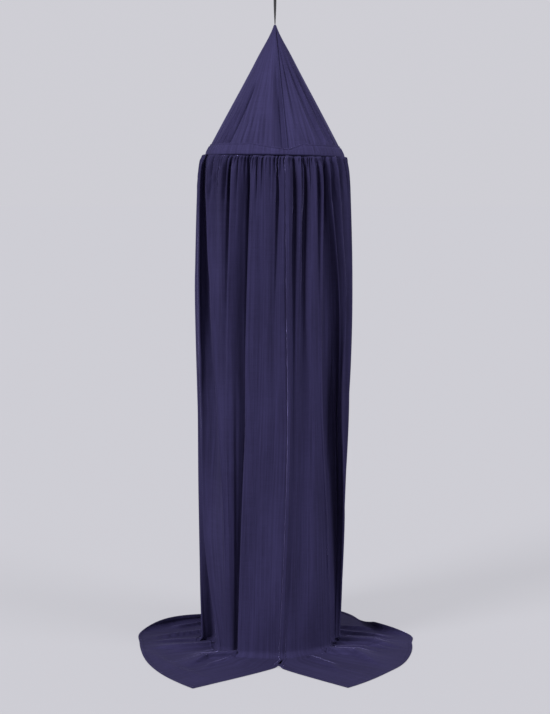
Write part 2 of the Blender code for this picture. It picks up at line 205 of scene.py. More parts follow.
def woven_tape():
    """Black tape woven in fine ribs across its width, slightly glossy."""
    material, add, shade = start_material("woven_tape")
    place = add("UVMap")
    place.uv_map = "flat"
    ribs = add("TexWave", Vector=place.outputs["UV"], Scale=BAND_SCALE / TAPE_RIB, Distortion=0.6)
    ribs.bands_direction = "Y"
    tone = add("ValToRGB", Fac=ribs.outputs["Fac"])
    for stop, strength in zip(tone.color_ramp.elements, (0.55, 1.6)):
        stop.color = (*(strength * c for c in TAPE_BLACK), 1.0)
    bump = add("Bump", Height=ribs.outputs["Fac"], Strength=0.5, Distance=0.0003)
    shade(Base_Color=tone.outputs["Color"], Normal=bump.outputs["Normal"], Roughness=0.62,
          Sheen_Weight=0.15, Sheen_Roughness=0.4)
    return material


tape_length = 2.0 * (HOOK_HEIGHT - TIP_HEIGHT + TAPE_TAIL)
tape = cloth_object("hanging_tape", tape_rows(), False, (TAPE_WIDTH, tape_length))
give_thickness(tape, TAPE_THICKNESS)
tape.data.materials.append(woven_tape())
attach(tape, "root")
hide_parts("hanging_loop")


# -------- cone
# The pointed top: one sector of light indigo cotton, closed by one seam at the front, a little right
# of the middle. It hangs from the tape and is pulled straight by the hoop, with soft troughs and
# creases that fan out from the tip and small puckers above the casing.

HOOP_HEIGHT = 1.765
HOOP_TUBE_RADIUS = 0.0035
HOOP_LEAN = 0.0175  # the hoop hangs this much lower for each metre to the right
FRONT_SEAM_TURN = 349.0
TIP_RADIUS = 0.0068
CONE_SLOPE = 0.5245
CONE_HEIGHT = TIP_HEIGHT - HOOP_HEIGHT
CONE_FOOT_RADIUS = TIP_RADIUS + CONE_SLOPE * CONE_HEIGHT
CONE_LEAN = math.hypot(1.0, CONE_SLOPE)
CONE_FOOT_ABOVE_HOOP = 0.006
CONE_WAIST = 0.0045  # how far the straight-pulled cloth lies inside the plain cone
TIP_FLATNESS = 0.40
TIP_FLAT_FROM = 0.75
CASING_HEIGHT = 0.0345
CASING_DIP = 0.0195
INDIGO_DARK = (0.0120, 0.0098, 0.0350)
INDIGO_LIGHT = (0.0200, 0.0169, 0.0552)
# painted light: the cone's colours are the skirt's cotton painted lighter, for the light that shines
# through its single layer
CONE_PAINTED_LIGHTER_DARK = (0.0150, 0.0122, 0.0425)  # the cone is one layer with light behind it, and shows lighter
CONE_PAINTED_LIGHTER_LIGHT = (0.0250, 0.0212, 0.0675)

# Turn angles grow from the front to the left, round the back and on to the right front. Each crease
# is a line from its turn at the foot to its turn nearer the tip, between two heights in percent of
# the cone's. The depth, negative for a trough, and the half widths are in millimetres.
CONE_CREASES = [
    # turn: foot, top, from, to, depth, width: foot, top
    # the trough beside the seam
    (354.6, 357.0,  3, 86, -16.0, 19.0, 8.0), (352.4, 353.0,  4, 55,  -9.5,  9.0, 5.0),
    # left
    ( 47.5,  37.5,  5, 64,   7.0,  2.8, 2.4), ( 44.8,  34.5,  5, 60,  -8.8,  3.4, 2.6),
    ( 40.0,  30.0,  5, 50,  -3.4,  9.0, 5.0), ( 52.0,  43.0,  4, 46,   3.8,  2.6, 2.2),
    ( 54.5,  45.0,  4, 44,  -6.3,  3.0, 2.4), ( 59.0,  48.5,  4, 40,   3.8,  2.6, 2.4),
    ( 62.0,  51.0,  4, 40,  -7.1,  3.4, 2.8), ( 70.0,  60.0,  4, 52,  -5.5,  4.0, 3.0),
    # small puckers in front on the left
    ( 10.0,  12.0,  3, 34,  -2.7,  2.6, 2.4), ( 15.0,  16.0,  3, 42,  -3.2,  2.8, 2.4),
    ( 20.5,  19.5,  3, 30,  -2.5,  2.4, 2.2), ( 26.0,  24.0,  3, 38,  -3.4,  3.0, 2.4),
    ( 32.0,  28.0,  3, 34,  -2.9,  2.6, 2.2),
    # round the back, from left to right
    (104.0, 100.0,  3, 60,  -6.5, 14.0, 6.0), (118.0, 108.0,  5, 50,   6.3,  5.0, 4.0),
    (150.0, 158.0,  4, 75, -10.4, 18.0, 6.0), (172.0, 170.0,  3, 42,  -6.3,  5.0, 4.0),
    (203.0, 196.0,  3, 58,  -6.5, 10.0, 5.0), (226.0, 232.0,  4, 50,   6.3,  5.0, 4.0),
    (250.0, 246.0,  4, 70,  -9.1, 16.0, 6.0),
    # right, towards the front
    (292.0, 300.0,  3, 74,  -7.1,  3.6, 2.8), (297.0, 306.0,  5, 78,   5.0,  3.0, 2.2),
    (301.0, 311.0,  4, 80,  -5.5,  2.8, 2.2), (308.0, 320.0,  4, 86,   6.7,  3.2, 2.0),
    (313.0, 327.0, 10, 86,  -6.5,  8.0, 2.6), (321.0, 333.0, 16, 86,   2.9,  3.0, 1.8),
    (338.0, 339.5, 22, 92,  -3.6,  2.8, 1.8), (341.0, 342.5, 16, 92,   2.5,  2.2, 1.6),
    (331.0, 333.0,  3, 34,  -2.7,  2.6, 2.2),
]
# The pressed seam's ridge and groove: place to the left of the seam, height and half width, in
# millimetres.
SEAM_LINES = [(1.8, 3.4, 2.2), (-2.0, -3.4, 2.0)]
PUCKERS_ABOVE_CASING = 96
PUCKER_DEPTH = 0.0028
PUCKER_LENGTH = 0.030
PUCKER_HALF_WIDTH = 0.9  # degrees
CLOSE_ROWS_UP_TO = 0.11  # above the hoop
THREAD_SPACING = 0.0009


def plan(turn, reach):
    """The plan position at a turn angle in degrees and a distance from the middle."""
    angle = np.radians(turn)
    return -reach * np.sin(angle), -reach * np.cos(angle)


def turn_gap(turn, middle):
    """Degrees from the middle to the turn, the short way round."""
    return (turn - middle + 180.0) % 360.0 - 180.0


def smooth_step(value):
    value = np.clip(value, 0.0, 1.0)
    return value * value * (3.0 - 2.0 * value)


def bell(away):
    """One in the middle, and less and less to both sides."""
    return np.exp(-(away ** 2))


def crease_height(turn, share, reach):
    """How far the creases lift the cone's cloth at a turn and a share of its height."""
    total = np.zeros_like(turn)
    for foot, top, low, high, depth, wide, narrow in CONE_CREASES:
        along = (share - low / 100.0) / (high / 100.0 - low / 100.0)
        middle = foot + turn_gap(top, foot) * np.clip(along, 0.0, 1.0)
        half_width = (wide + (narrow - wide) * np.clip(along, 0.0, 1.0)) / 1000.0
        away = np.radians(turn_gap(turn, middle)) * reach
        ends = smooth_step((along + 0.25) / 0.35) * smooth_step((1.0 - along) / 0.45)
        total += depth / 1000.0 * ends * bell(away / half_width)
    away = np.radians(turn_gap(turn, FRONT_SEAM_TURN)) * reach * 1000.0
    fade = smooth_step((1.0 - share) / 0.06)
    for place, height, half_width in SEAM_LINES:
        total += fade * height / 1000.0 * bell((away - place) / half_width)
    return total


def hoop_lean(x, above_hoop):
    """How far the leaning hoop lowers the cloth, less and less towards the tip."""
    return -HOOP_LEAN * x * (1.0 - above_hoop / CONE_HEIGHT)


def cone_surface(turn, above_hoop, proud):
    """Points on the cone's plain shape, `proud` outside its middle."""
    share = above_hoop / CONE_HEIGHT
    reach = CONE_FOOT_RADIUS - CONE_SLOPE * above_hoop + proud / CONE_LEAN
    x, y = plan(turn, reach - CONE_WAIST * np.sin(np.pi * share ** 2))
    flat = np.maximum(0.0, (share - TIP_FLAT_FROM) / (1.0 - TIP_FLAT_FROM))
    x = x * (1.0 - TIP_FLATNESS * flat ** 2)
    z = HOOP_HEIGHT - HOOK_HEIGHT + above_hoop + proud * CONE_SLOPE / CONE_LEAN
    return np.stack((x, y, z + hoop_lean(x, above_hoop)), axis=-1)


def casing_height(turn):
    """The casing's height, which falls to a point at the front seam, faster on the right."""
    away = turn_gap(turn, FRONT_SEAM_TURN)
    width = np.where(away > 0, 32.0, 13.0)
    return CASING_HEIGHT - CASING_DIP * np.maximum(0.0, 1.0 - np.abs(away) / width)


def uneven(seed, count, size, low, high):
    """Evenly spread turns, each a little out of place, and a size for each."""
    chance = np.random.RandomState(seed)
    turns = (np.arange(count) + chance.uniform(-0.35, 0.35, count)) * 360.0 / count
    return turns, size * chance.uniform(low, high, count), chance


def cone_turns():
    """Turns of the cone's columns, closer together in front and closest at the seam."""
    even = np.r_[0.0:100.0:0.6, 100.5:261.5:1.5, 262.0:360.0:0.6]
    kept = even[np.abs(turn_gap(even, FRONT_SEAM_TURN)) > 2.6]
    return np.sort(np.r_[kept, FRONT_SEAM_TURN + np.arange(-2.4, 2.41, 0.2)])


def cone_rows():
    turns = cone_turns()
    pucker_turns, pucker_depths, chance = uneven(11, PUCKERS_ABOVE_CASING, PUCKER_DEPTH, 0.1, 1.4)
    pucker_lengths = PUCKER_LENGTH * chance.uniform(0.3, 2.2, PUCKERS_ABOVE_CASING)
    low = np.linspace(CONE_FOOT_ABOVE_HOOP, CLOSE_ROWS_UP_TO, 30)
    high = np.linspace(CLOSE_ROWS_UP_TO, CONE_HEIGHT, 46)[1:]
    rows = []
    for above in np.concatenate((low, high))[::-1]:
        reach = CONE_FOOT_RADIUS - CONE_SLOPE * above
        above_casing = above - casing_height(turns)
        free = smooth_step((above_casing + 0.002) / 0.010)
        proud = crease_height(turns, above / CONE_HEIGHT, reach) * free
        for turn, depth, length in zip(pucker_turns, pucker_depths, pucker_lengths):
            away = turn_gap(turns, turn) / PUCKER_HALF_WIDTH
            pull = smooth_step(above_casing / 0.003) * np.exp(-np.maximum(above_casing, 0.0) / length)
            proud = proud - depth * pull * bell(away)
        rows.append(cone_surface(turns, above, proud))
    return rows


def cotton(name, dark, light):
    """Light plain-woven cotton: crossed threads, uneven slubs, faint creases and a soft bloom."""
    material, add, shade = start_material(name)
    place = add("UVMap")
    place.uv_map = "flat"

    def noise(across, along, detail):
        """Noise with about so many waves in a metre across and along the cloth."""
        stretch = add("VectorMath", Vector=place.outputs["UV"])
        stretch.operation = "MULTIPLY"
        stretch.inputs[1].default_value = (across, along, 1.0)
        texture = add("TexNoise", Vector=stretch.outputs["Vector"], Scale=1.0, Detail=detail)
        return texture.outputs["Fac"]

    def threads(direction):
        scale = BAND_SCALE / THREAD_SPACING
        bands = add("TexWave", Vector=place.outputs["UV"], Scale=scale, Distortion=1.2)
        bands.bands_direction = direction
        return bands.outputs["Fac"]

    def blend(first, second, share):
        return add("Mix", A=first, B=second, Factor=share).outputs["Result"]

    slubs = blend(noise(330.0, 14.0, 2.0), noise(14.0, 330.0, 2.0), 0.5)
    clouds = noise(7.0, 3.0, 3.0)
    streaks = noise(140.0, 2.6, 3.0)
    tone = add("ValToRGB", Fac=blend(blend(slubs, clouds, 0.45), streaks, 0.4))
    for stop, position, colour in zip(tone.color_ramp.elements, (0.41, 0.59), (dark, light)):
        stop.position = position
        stop.color = (*colour, 1.0)
    wrinkles = blend(noise(48.0, 2.2, 3.0), noise(22.0, 16.0, 4.0), 0.35)
    ripples = add("Bump", Height=wrinkles, Strength=0.5, Distance=0.0060)
    thread_height = blend(blend(threads("X"), threads("Y"), 0.5), slubs, 0.3)
    weave = add("Bump", Height=thread_height, Normal=ripples.outputs["Normal"],
                Strength=0.35, Distance=0.00012)
    shade(Base_Color=tone.outputs["Color"], Normal=weave.outputs["Normal"], Roughness=0.88,
          Specular_IOR_Level=0.12, Sheen_Weight=0.55, Sheen_Roughness=0.15,
          Sheen_Tint=(0.50, 0.45, 1.0, 1.0))
    return material


indigo_cotton = cotton("indigo_cotton", INDIGO_DARK, INDIGO_LIGHT)
# the cone's copy of the cotton, with painted light: its colours are painted lighter than the skirt's
cone_painted_lighter_cotton = cotton("indigo_cotton_painted_lighter", CONE_PAINTED_LIGHTER_DARK, CONE_PAINTED_LIGHTER_LIGHT)
cone_slant = CONE_HEIGHT * CONE_LEAN
cone_flat = (math.pi * (CONE_FOOT_RADIUS + TIP_RADIUS), cone_slant)
cone = cloth_object("cone", cone_rows(), True, cone_flat)
cone.data.materials.append(cone_painted_lighter_cotton)
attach(cone, "root")
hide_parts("cone")


# -------- hoop
# The plain ring that spreads the cone's foot. It is a rod of off-white plastic with its ends joined,
# and the casing hides all of it.

def moulded_plastic():
    """Smooth off-white plastic with faint drawing marks along the rod."""
    material, add, shade = start_material("hoop_plastic")
    marks = add("TexNoise", Scale=180.0)
    roughness = add("MapRange", Value=marks.outputs["Fac"], To_Min=0.32, To_Max=0.48)
    shade(Base_Color=(0.80, 0.80, 0.78, 1.0), Roughness=roughness.outputs["Result"])
    return material


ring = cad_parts["hoop"]
ring_plastic = moulded_plastic()
for slot in ring.material_slots:
    slot.material = ring_plastic


# -------- hoop casing
# A strip of the same cotton folded up round the hoop, with the cone's foot between its two flaps. Its
# edges are turned in, a line of stitches holds it just below its upper edge, and its ends meet in a
# pucker at the front seam.

CASING_ROLL = HOOP_TUBE_RADIUS + 0.0015
CASING_PROUD = 0.0028  # how far the outer flap's face lies outside the cone's middle
CASING_LEAST_PROUD = 0.0009
CASING_INSIDE = 0.0016  # how far the inner flap lies inside it
CASING_BELLY = 0.0012
CASING_COLUMNS = 620
CASING_EDGE_ROLL = 0.0012
CASING_TURNED_IN = 0.007
CASING_INNER_LOWER = 0.003  # how far the inner flap's edge lies below the outer one's
STITCH_BELOW_EDGE = 0.0045
STITCH_GROOVE = (0.0034, 0.0017)  # depth and half width
CASING_CREASES = 96
CASING_CREASE_DEPTH = 0.0026
CASING_CREASE_HALF_WIDTH = 0.8  # degrees
CASING_SEAM_DENT = (0.0030, 0.7)  # depth in metres and half width in degrees
CASING_CROSS = (1.1, 0.45)  # the crossed pucker at the seam: reach and half width in degrees
HOOP_RADIUS = CONE_FOOT_RADIUS - CONE_LEAN * (CASING_ROLL - CASING_INSIDE)
# painted light: the casing's colours are the same cotton painted lighter, as light as the cone's
CASING_PAINTED_LIGHTER_DARK = (0.0152, 0.0124, 0.0430)
CASING_PAINTED_LIGHTER_LIGHT = (0.0254, 0.0215, 0.0685)


def casing_rows():
    turns = np.arange(CASING_COLUMNS) * 360.0 / CASING_COLUMNS
    top = casing_height(turns)
    crease_turns, crease_depths, chance = uneven(23, CASING_CREASES, CASING_CREASE_DEPTH, 0.0, 1.3)
    slants = chance.uniform(-1.6, 1.6, CASING_CREASES)
    seam_gap = turn_gap(turns, FRONT_SEAM_TURN)
    seam = bell(seam_gap / CASING_SEAM_DENT[1])
    rows = []
    for share in (0.0, 0.5, 0.9):
        above = top - CASING_TURNED_IN + (CASING_TURNED_IN - CASING_EDGE_ROLL) * share
        rows.append(cone_surface(turns, above, CASING_PROUD - 2 * CASING_EDGE_ROLL))
    for angle in np.radians((-60.0, 0.0, 60.0)):
        above = top - CASING_EDGE_ROLL * (1.0 - math.cos(angle))
        proud = CASING_PROUD - CASING_EDGE_ROLL * (1.0 - math.sin(angle))
        rows.append(cone_surface(turns, above, proud))
    for share in np.linspace(0.97, 0.0, 18):
        above = CONE_FOOT_ABOVE_HOOP + (top - CASING_EDGE_ROLL - CONE_FOOT_ABOVE_HOOP) * share
        below_edge = top - above
        groove = STITCH_GROOVE[0] * bell((below_edge - STITCH_BELOW_EDGE) / STITCH_GROOVE[1])
        middle = np.sin(np.pi * np.clip(below_edge / np.maximum(top, 0.01), 0.0, 1.0))
        creases = np.zeros_like(turns)
        for turn, depth, slant in zip(crease_turns, crease_depths, slants):
            away = turn_gap(turns, turn + slant * share)
            creases -= depth * bell(away / CASING_CREASE_HALF_WIDTH)
        cross_place = CASING_CROSS[0] * np.abs(2.0 * share - 1.0)
        cross = bell((np.abs(seam_gap) - cross_place) / CASING_CROSS[1])
        proud = CASING_PROUD - groove + creases * (0.4 + 0.6 * middle)
        proud += (CASING_BELLY * (1.0 + cross) - CASING_SEAM_DENT[0] * seam) * middle
        rows.append(cone_surface(turns, above, np.maximum(proud, CASING_LEAST_PROUD)))
    tilt = math.degrees(math.atan(CONE_SLOPE))
    for angle in np.linspace(tilt - 6.0, tilt - 180.0, 15):
        roll = CASING_ROLL + 0.0004 - 0.0008 * seam
        reach = HOOP_RADIUS + roll * math.cos(math.radians(angle))
        x, y = plan(turns, reach)
        z = HOOP_HEIGHT - HOOK_HEIGHT + roll * math.sin(math.radians(angle))
        rows.append(np.stack((x, y, z + hoop_lean(x, 0.0)), axis=-1))
    for share in (0.25, 0.6, 1.0):
        above = CONE_FOOT_ABOVE_HOOP + (top - CONE_FOOT_ABOVE_HOOP - CASING_INNER_LOWER) * share
        rows.append(cone_surface(turns, above, -CASING_INSIDE))
    return rows


# the casing's copy of the cotton, with painted light: its colours are painted lighter than the
# skirt's
casing_cotton = cotton("casing_cotton", CASING_PAINTED_LIGHTER_DARK, CASING_PAINTED_LIGHTER_LIGHT)
casing_mean_radius = CONE_FOOT_RADIUS - 0.008
casing_length = 2.0 * math.pi * casing_mean_radius
casing_width = 0.098
casing = cloth_object("hoop_casing", casing_rows(), True, (casing_length, casing_width))
casing.data.materials.append(casing_cotton)
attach(casing, "root")
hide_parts("hoop_casing")


# -------- skirt
# One wide length of the same cotton, gathered and sewn on under the casing. It hangs open at the
# front, where its two hemmed edges meet, in uneven upright folds, and fans out on the floor.

SEAM_HEIGHT = 1.7587
SEAM_RADIUS = 0.2455
RUFFLE = (0.0155, 0.0028)  # how far the gathers swell out at once, and within what drop
PUFF = 0.055
SHOULDER = (0.009, 0.003, 0.0035)  # the gathers stand up at the sides: height, drop and half width
GATHER_LIMIT = (-0.007, 0.004)  # the seam holds the folds this close
FOLDS_FREE = 0.035  # and they come free within about this drop
SHIFT_EASE = 0.015
LINES_FROM = 0.05  # the sharp lines and ripples begin over this drop
LEAN_FADE = 0.25

# The five levels at which the folds are given: height, the skirt's mean radius, and how far its
# middle lies to the left.
LEVELS = [
    # height  radius  left
    (1.640,   0.2762, 0.004),
    (1.265,   0.2838, 0.004),
    (0.850,   0.2752, 0.006),
    (0.425,   0.2665, 0.014),
    (0.030,   0.2565, 0.015),
]

# The folds that show from the front, in order along the cloth: turn in degrees at the five levels,
# and how far each lies out from the mean radius, in millimetres.
LEFT_FOLDS = [
    # name               turn                                    out
    ("left edge",       (-10.8, -10.0, -12.8, -12.9, -12.0), ( -6,  -3,  -1,  -1,  -1)),
    ("inner ridge",     ( -6.9,  -5.2,  -6.9,  -5.6,  -4.5), ( -2,   0,   1,   1,   1)),
    ("inner valley",    ( -3.0,  -1.1,  -0.4,   1.8,   3.6), (-14,  -9,  -4,  -3,  -2)),
    ("soft ridge",      (  4.7,   4.6,   5.5,   7.2,   9.0), (  2,   2,   1,   0,   0)),
    ("panel hollow",    (  9.9,   9.6,  11.1,  13.0,  15.5), ( -8,  -7,  -6,  -5,  -3)),
    ("panel ridge",     ( 14.0,  14.6,  15.9,  18.2,  21.9), (  3,   3,   3,   3,   3)),
    ("panel lip",       ( 16.8,  18.5,  19.9,  22.5,  26.4), (  3,   6,   7,   7,   6)),
    ("deep valley",     ( 20.0,  21.0,  22.6,  25.2,  28.2), (-34, -48, -46, -38, -28)),
    ("valley floor",    ( 23.0,  24.4,  25.8,  28.0,  30.4), (-24, -35, -33, -29, -23)),
    ("valley shoulder", ( 27.6,  29.6,  30.8,  31.4,  32.4), ( -5,  -8,  -7,  -6,  -6)),
    ("narrow ridge",    ( 31.7,  33.3,  35.4,  33.0,  33.8), (  4,   4,   2,   1,   0)),
    ("short valley",    ( 36.0,  36.0,  37.0,  34.6,  35.0), (-16,  -6,   3,   4,   2)),
    ("short ridge",     ( 41.1,  39.3,  39.0,  35.4,  36.2), (  3,   1,   5,   5,   3)),
    ("soft hollow",     ( 50.0,  44.5,  41.2,  36.2,  37.4), ( -8,   2,   6,   6,   3)),
    ("sharp ridge",     ( 56.4,  49.7,  43.4,  37.4,  38.6), (  6,   7,   8,   7,   3)),
    ("sharp slope",     ( 58.5,  52.5,  46.3,  41.0,  39.6), ( -5, -12, -12,   1,   3)),
    ("outer valley",    ( 73.0,  68.0,  58.5,  51.5,  40.8), (-20, -42, -38,  -5,   3)),
    ("side shoulder",   ( 71.8,  69.0,  64.0,  57.0,  43.0), ( -8, -14, -17,  -3,   4)),
    ("sweeping ridge",  ( 70.2,  66.6,  66.0,  61.5,  45.2), (  4,   4,   4,   6,   6)),
    ("side wall",       ( 74.5,  72.5,  71.0,  65.4,  55.0), (  1,   1,   1,  -8, -22)),
    ("side hollow",     ( 79.0,  78.0,  77.0,  76.0,  79.0), ( -3,  -3,  -5, -24, -46)),
    ("left side",       ( 88.0,  88.0,  88.0,  82.0,  76.5), (  0,   0,   0,   1,   4)),
]
RIGHT_FOLDS = [
    ("right side",        (272.0, 272.0, 272.0, 272.0, 272.0), (  0,   0,   0,   0,   0)),
    ("right side hollow", (281.0, 280.0, 278.0, 275.0, 273.5), (-12,  -9,  -5,  -4,  -4)),
    ("right outer ridge", (290.2, 289.4, 283.5, 278.0, 275.5), (  5,   5,   1,   0,  -1)),
    ("right thin hollow", (299.0, 295.4, 289.0, 281.0, 278.0), (-16, -14, -12,  -8,  -6)),
    ("bright ridge",      (306.5, 300.6, 301.5, 286.6, 279.8), (  7,   7,   9,   5,  -2)),
    ("bright hollow",     (309.0, 303.5, 299.2, 285.0, 280.9), (-20, -10,   0,  -3,  -8)),
    ("valley crest",      (313.4, 306.0, 298.4, 283.3, 282.0), (  0,   0, -14, -15, -13)),
    ("right shoulder",    (315.2, 306.2, 293.0, 281.4, 283.6), (-16, -31, -38, -28, -20)),
    ("right deep valley", (315.5, 316.0, 311.4, 298.8, 295.2), (-36, -46, -44, -38, -26)),
    ("right lip",         (322.7, 325.0, 322.4, 312.1, 304.7), (  5,   5,   5,   5,   3)),
    ("thin valley",       (325.5, 326.8, 323.4, 313.4, 306.5), ( -5,   4,   6,   5,   4)),
    ("right ridge",       (328.9, 328.9, 325.0, 315.0, 308.5), (  6,   5,   5,   4,   4)),
    ("right panel",       (332.0, 333.0, 330.8, 326.0, 324.0), (  0,   0,   0,   0,   0)),
    ("soft valley",       (336.0, 337.8, 337.2, 336.0, 336.6), (-15, -20, -18, -14,  -7)),
    ("low ridge",         (340.5, 343.0, 343.2, 342.1, 344.0), (  0,  -6,  -4,  -3,  -2)),
    ("edge valley",       (344.2, 346.2, 346.0, 345.4, 347.4), (-16, -12,  -4,  -2,  -1)),
    ("edge ridge",        (348.6, 349.6, 348.0, 347.9, 350.7), (  5,   7,   6,   5,   4)),
    ("right edge",        (351.8, 351.6, 349.8, 350.0, 353.6), (  2,   2,   2,   2,   2)),
]

# The folds at the back, valleys and ridges in turn: turn at the top and the foot, and how far out at
# the top, middle and foot.
BACK_FOLDS = [
    (97, 96, -24, -30, -26), (105, 105, 4, 6, 6), (113, 114, -38, -44, -36),
    (121, 122, 6, 8, 4), (127, 128, -20, -12, -8), (133, 134, 0, 2, 4),
    (142, 141, -44, -50, -40), (151, 149, 5, 8, 6), (158, 157, -26, -16, -14),
    (164, 165, 2, 4, 2), (172, 174, -36, -42, -34), (181, 182, 6, 8, 6),
    (187, 188, -18, -10, -6), (193, 194, -2, 2, 2), (202, 201, -46, -52, -42),
    (211, 209, 5, 8, 5), (218, 217, -28, -18, -14), (225, 225, 3, 4, 3),
    (233, 234, -40, -46, -36), (241, 243, 6, 8, 4), (248, 250, -22, -12, -8),
    (255, 257, 2, 2, 0), (262, 264, -30, -34, -26),
]

# Where a fold is drawn to a sharp line: how far it stands out at the five levels, or in where
# negative, and its half width, in millimetres.
SHARP_LINES = [
    ("inner valley", (-16, -3, 0, 0, 0), 4.0), ("panel lip", (1, 2, 2, 2, 1), 3.0),
    ("narrow ridge", (4, 4, 1, 0, 0), 3.4), ("short valley", (-20, -4, 0, 0, 0), 5.0),
    ("short ridge", (5, 2, 0, 0, 0), 3.2), ("soft hollow", (-4, 0, 0, 0, 0), 4.0),
    ("sharp ridge", (4, 3, 2, 1, 0), 2.8), ("sweeping ridge", (3, 3, 3, 3, 3), 3.2),
    ("right outer ridge", (4, 4, 2, 1, 0), 3.6), ("bright ridge", (4, 4, 5, 5, 2), 3.4),
    ("right lip", (3, 3, 3, 3, 2), 2.8), ("thin valley", (-12, -1, 0, 0, 0), 3.0),
    ("right ridge", (3, 0, 0, 0, 0), 3.2), ("soft valley", (-20, -6, 0, 0, 0), 5.0),
    ("low ridge", (3, 3, 1, 0, 0), 3.4), ("edge valley", (-20, -5, 0, 0, 0), 4.6),
    ("edge ridge", (2, 2, 3, 3, 2), 2.6),
]

# Gathers under the casing, as seen in front: turn, and depth and length in millimetres. Finer ones
# are spread all round, and longer ones at the back.
FRONT_GATHERS = [
    (87.1, 13, 55), (80.0, 11, 80), (74.6, 15, 45), (67.7, 20, 160), (60.9, 9, 40),
    (54.0, 15, 110), (47.2, 20, 100), (42.7, 10, 60), (39.2, 20, 150), (35.8, 12, 60),
    (32.1, 12, 45), (28.6, 15, 135), (25.6, 12, 40), (23.1, 9, 55), (20.7, 20, 150),
    (18.3, 18, 120), (15.6, 11, 60), (12.9, 20, 115), (8.7, 10, 110), (5.6, 9, 60),
    (2.8, 10, 120), (0.1, 8, 50), (357.2, 15, 120), (355.0, 10, 70), (347.8, 11, 24),
    (344.7, 18, 150), (340.8, 9, 50), (338.0, 20, 150), (335.0, 7, 17), (331.8, 15, 100),
    (329.4, 7, 14), (326.9, 20, 135), (323.7, 13, 30), (318.2, 18, 150), (315.6, 11, 24),
    (312.2, 18, 120), (308.5, 11, 22), (302.2, 15, 120), (296.3, 13, 95), (291.0, 11, 80),
    (284.0, 13, 70), (277.0, 11, 55),
]
GATHER_HALF_WIDTH = 0.52  # degrees
GATHER_WIDENS = 3.0  # by this share of it for each metre down
GATHER_EASE = 0.012  # they deepen over this drop
FINE_GATHERS = 132
FINE_GATHER_DEPTH = 0.0150
FINE_GATHER_LENGTH = 0.028
BACK_GATHERS = 52
BACK_GATHER_DEPTH = 0.0170
BACK_GATHER_LENGTH = 0.085

# Long faint ripples all over the hanging cloth.
RIPPLES = 190
RIPPLE_DEPTH = 0.0034

# The hem's outline on the floor: turn, reach from the middle in millimetres, and how far it curls up,
# in degrees.
HEM = [
    (24.6, 652, 0), (32.0, 621, 0), (39.5, 594, 0), (52.0, 554, 0), (70.5, 512, 4),
    (80.0, 503, 6), (94.0, 510, 34), (107.0, 484, 120), (128.0, 381, 110), (150.0, 362, 30),
    (180.0, 378, 8), (205.0, 405, 4), (218.0, 418, 0), (227.0, 407, 10), (239.0, 388, 30),
    (252.0, 410, 95), (257.0, 432, 125), (263.0, 462, 110), (267.5, 497, 50), (281.0, 509, 4),
    (294.0, 530, 0), (309.5, 562, 0), (317.5, 574, 0), (329.0, 605, 0), (337.6, 634, 0),
]
HEM_CURL_RADIUS = 0.017
HEM_CURL_FROM = 1.6  # it starts this many times its own length before the hem
SPREAD_EASE = 45.0  # degrees over which the cloth in front fans out towards its corners
BEND = 0.022  # radius of the bend at the floor
APRON = 0.063  # how much farther the cloth lies out on the floor in front before it spreads
APRON_LEFT = 0.027  # and how much farther to the left
APRON_HALF_WIDTH = 28.0  # degrees
SELVEDGE_ON_FLOOR = 0.039  # the front edges then run on side by side about this far
PARTING_LIFT = (0.008, 0.012)  # where they part they stand up off the floor: height and reach

# Folds that run out over the floor, in millimetres: start, middle and end of each crest, its height,
# its half width on the steep side and on the gentle side, and how far the crest leans over its steep
# side. The steep side is on the right of the line's way out when `side` is 1.
FLOOR_FOLDS = [
    # start, middle, end, height, steep, gentle, lean, side
    # left, from the front to the back
    ((-132, -235), (-247, -261), (-321, -383), 18,  7, 50, 10, -1),
    ((-150, -180), (-230, -200), (-300, -240),  8,  6, 24,  5, -1),
    ((-193, -108), (-343, -144), (-476, -144), 15,  6, 36,  9, -1),
    ((-461, -192), (-321, -400), (-168, -540),  6, 20, 16,  0,  1),
    ((-235,  -40), (-360,  -60), (-480,  -80),  8,  5, 20,  5, -1),
    ((-262,   53), (-382,    2), (-496,  -48), 12,  5, 20,  8, -1),
    ((-275,  157), (-345,  118), (-415,   92), 12,  5, 22,  8, -1),
    ((-240,  200), (-310,  200), (-400,  170), 12,  6, 20,  6, -1),
    # back
    ((-150,  240), (-180,  280), (-200,  310), 10, 10, 20,  0,  1),
    ((  10,  290), (  20,  320), (  20,  360), 12, 12, 20,  0,  1),
    (( 150,  260), ( 180,  300), ( 210,  340), 12, 12, 20,  0,  1),
    # right, from the back to the front
    (( 246,  105), ( 320,   92), ( 402,   79), 12,  5, 20,  7,  1),
    (( 243,   40), ( 352,    2), ( 459,  -48), 13,  5, 24,  8,  1),
    (( 240,  -20), ( 350,  -30), ( 480,  -90),  8,  5, 20,  5,  1),
    (( 238,  -60), ( 348,  -70), ( 469, -150), 18,  8, 36,  9,  1),
    (( 215, -140), ( 310, -140), ( 430, -230),  7,  6, 24,  4,  1),
    # small creases and, last, the long fold at the right front corner
    ((-160, -215), (-235, -235), (-300, -300),  7,  4, 12,  3, -1),
    ((-215, -120), (-320, -165), (-420, -225),  6,  4, 12,  3, -1),
    ((-240,  -70), (-340,  -95), (-450, -110),  6,  4, 12,  3, -1),
    ((-150, -260), (-215, -330), (-260, -420),  6,  4, 14,  2, -1),
    (( 190, -190), ( 280, -200), ( 370, -260), 12,  7, 18,  4,  1),
    (( 225, -100), ( 330, -105), ( 440, -180), 12,  6, 16,  4,  1),
    (( 130, -270), ( 190, -340), ( 230, -430), 10,  8, 20,  3,  1),
    (( 200, -200), ( 285, -210), ( 390, -372), 20,  9, 50, 10,  1),
]
FRONT_COLUMN = 0.0031  # columns of the sheet about this far apart in front
BACK_COLUMN = 0.0078
CLOSE_ROWS_DOWN_TO = 0.125  # below the seam, with the columns twice as close
